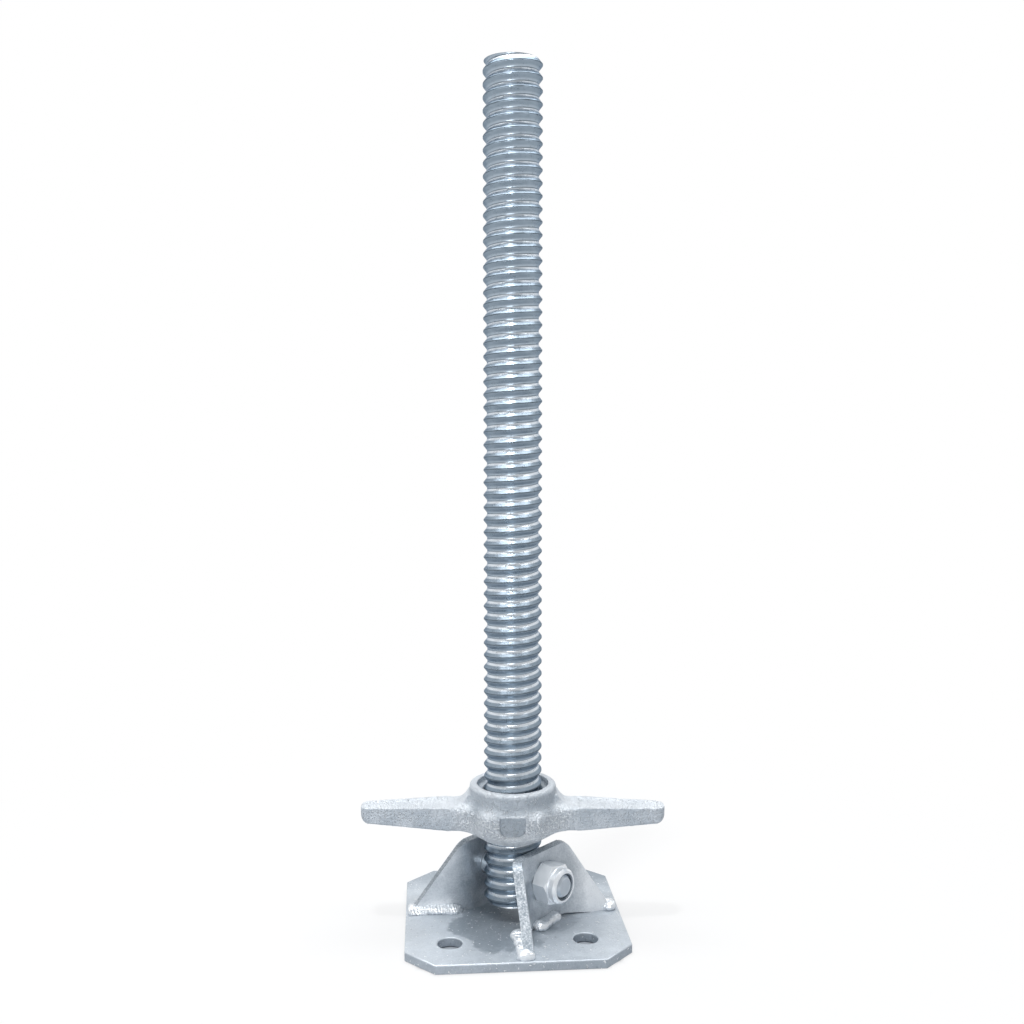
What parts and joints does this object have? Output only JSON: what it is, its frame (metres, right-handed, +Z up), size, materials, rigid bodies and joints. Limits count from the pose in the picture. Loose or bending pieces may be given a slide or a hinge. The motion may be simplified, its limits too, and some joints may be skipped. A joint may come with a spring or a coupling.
{
  "type": "swivel base screw jack",
  "caption": "Levelling foot: a threaded tube with a two-handled nut tilts on a bolt between folded ears on a square plate.",
  "frame": {"origin": "middle of the base plate's underside", "axes": "+Z up along the tube at rest, X and Y along the plate's edges; the front ear faces +X -Y"},
  "size_m": [0.1988, 0.141, 0.553],
  "materials": {
    "galvanised_plate": "hot-dip zinc, matt with drips and spangle",
    "galvanised_weld": "rippled weld metal under hot-dip zinc",
    "zinc_fastener": "zinc-plated, satin",
    "nylon": "plain moulded nylon",
    "galvanised_thread": "rolled thread under hot-dip zinc, satin",
    "galvanised_casting": "rough casting under hot-dip zinc"
  },
  "bodies": {
    "base": {"base_plate": "galvanised_plate", "front_ear": "galvanised_plate", "rear_ear": "galvanised_plate", "front_ear_welds": "galvanised_weld", "rear_ear_welds": "galvanised_weld", "pivot_bolt": "zinc_fastener", "lock_nut": "zinc_fastener", "lock_nut_ring": "nylon"},
    "stem": {"threaded_tube": "galvanised_thread"},
    "nut": {"handled_nut": "galvanised_casting"}
  },
  "joints": [
    {"name": "base_tilt", "type": "hinge", "parent": "base", "child": "stem", "pos_m": [0, 0, 0.0345], "axis": [0.7071, -0.7071, 0], "range_deg": [-15, 15]},
    {"name": "nut_travel", "type": "slide", "parent": "stem", "child": "nut", "axis": [0, 0, 1], "range_m": [0, 0.448]}
  ]
}
